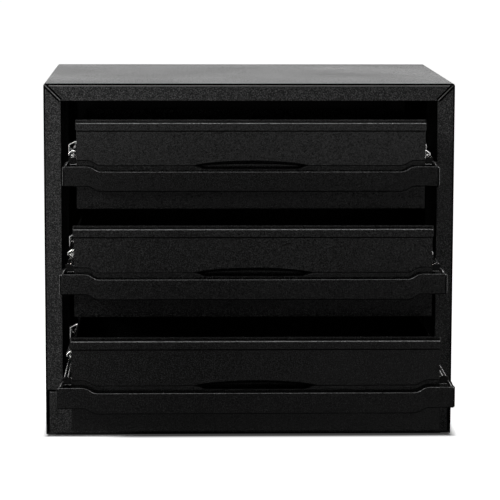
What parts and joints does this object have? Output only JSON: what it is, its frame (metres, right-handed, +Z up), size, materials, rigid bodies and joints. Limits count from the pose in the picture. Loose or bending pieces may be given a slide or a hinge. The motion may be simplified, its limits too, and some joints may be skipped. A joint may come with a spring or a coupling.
{
  "type": "letter tray stack with drawers",
  "caption": "Open-front desktop cabinet of black powder-coated sheet steel with shallow pull-out drawers on telescopic slides, each with a full-width pull strip.",
  "frame": {"origin": "on the floor, under the middle of the object's length with its drawers drawn out as in the picture", "axes": "+X to the right seen from the front, +Y to the back, +Z up; the drawers open towards -Y"},
  "size_m": [0.395, 0.5162, 0.344],
  "materials": {
    "case_black": "fine textured powder coat",
    "drawer_black": "fine textured powder coat",
    "handle_black": "smooth satin powder coat",
    "inner_steel": "matt black paint",
    "zinc": "bright zinc plate",
    "black_screw": "black oxide",
    "rubber": "matt"
  },
  "bodies": {
    "cabinet": {"case_wrapper": "case_black", "bottom_pan": "case_black", "back_panel": "case_black", "left_front_upright": "inner_steel", "left_rear_upright": "inner_steel", "right_front_upright": "inner_steel", "right_rear_upright": "inner_steel", "back_panel_screws": "black_screw", "case_slide_screws": "zinc", "front_foot_strip": "rubber", "rear_foot_strip": "rubber", "top_left_slide_outer": "zinc", "top_right_slide_outer": "zinc", "middle_left_slide_outer": "zinc", "middle_right_slide_outer": "zinc", "bottom_left_slide_outer": "zinc", "bottom_right_slide_outer": "zinc"},
    "top_drawer": {"top_drawer_tray": "drawer_black", "top_drawer_front": "drawer_black", "top_drawer_handle": "handle_black", "top_drawer_rivets": "black_screw", "top_drawer_slide_screws": "zinc", "top_left_slide_inner": "zinc", "top_right_slide_inner": "zinc"},
    "top_left_slide_middle": {"top_left_slide_middle": "zinc"},
    "top_right_slide_middle": {"top_right_slide_middle": "zinc"},
    "middle_drawer": {"middle_drawer_tray": "drawer_black", "middle_drawer_front": "drawer_black", "middle_drawer_handle": "handle_black", "middle_drawer_rivets": "black_screw", "middle_drawer_slide_screws": "zinc", "middle_left_slide_inner": "zinc", "middle_right_slide_inner": "zinc"},
    "middle_left_slide_middle": {"middle_left_slide_middle": "zinc"},
    "middle_right_slide_middle": {"middle_right_slide_middle": "zinc"},
    "bottom_drawer": {"bottom_drawer_tray": "drawer_black", "bottom_drawer_front": "drawer_black", "bottom_drawer_handle": "handle_black", "bottom_drawer_rivets": "black_screw", "bottom_drawer_slide_screws": "zinc", "bottom_left_slide_inner": "zinc", "bottom_right_slide_inner": "zinc"},
    "bottom_left_slide_middle": {"bottom_left_slide_middle": "zinc"},
    "bottom_right_slide_middle": {"bottom_right_slide_middle": "zinc"}
  },
  "joints": [
    {"name": "top_drawer_slide", "type": "slide", "parent": "cabinet", "child": "top_drawer", "axis": [0, -1, 0], "range_m": [-0.0655, 0.1845]},
    {"name": "top_left_slide_middle_slide", "type": "slide", "parent": "cabinet", "child": "top_left_slide_middle", "axis": [0, -1, 0], "range_m": [-0.03275, 0.09225]},
    {"name": "top_right_slide_middle_slide", "type": "slide", "parent": "cabinet", "child": "top_right_slide_middle", "axis": [0, -1, 0], "range_m": [-0.03275, 0.09225]},
    {"name": "middle_drawer_slide", "type": "slide", "parent": "cabinet", "child": "middle_drawer", "axis": [0, -1, 0], "range_m": [-0.141, 0.109]},
    {"name": "middle_left_slide_middle_slide", "type": "slide", "parent": "cabinet", "child": "middle_left_slide_middle", "axis": [0, -1, 0], "range_m": [-0.0705, 0.0545]},
    {"name": "middle_right_slide_middle_slide", "type": "slide", "parent": "cabinet", "child": "middle_right_slide_middle", "axis": [0, -1, 0], "range_m": [-0.0705, 0.0545]},
    {"name": "bottom_drawer_slide", "type": "slide", "parent": "cabinet", "child": "bottom_drawer", "axis": [0, -1, 0], "range_m": [-0.215, 0.035]},
    {"name": "bottom_left_slide_middle_slide", "type": "slide", "parent": "cabinet", "child": "bottom_left_slide_middle", "axis": [0, -1, 0], "range_m": [-0.1075, 0.0175]},
    {"name": "bottom_right_slide_middle_slide", "type": "slide", "parent": "cabinet", "child": "bottom_right_slide_middle", "axis": [0, -1, 0], "range_m": [-0.1075, 0.0175]}
  ],
  "couplings": [
    {"joint": "top_left_slide_middle_slide", "follows": "top_drawer_slide", "ratio": 0.5},
    {"joint": "top_right_slide_middle_slide", "follows": "top_drawer_slide", "ratio": 0.5},
    {"joint": "middle_left_slide_middle_slide", "follows": "middle_drawer_slide", "ratio": 0.5},
    {"joint": "middle_right_slide_middle_slide", "follows": "middle_drawer_slide", "ratio": 0.5},
    {"joint": "bottom_left_slide_middle_slide", "follows": "bottom_drawer_slide", "ratio": 0.5},
    {"joint": "bottom_right_slide_middle_slide", "follows": "bottom_drawer_slide", "ratio": 0.5}
  ]
}
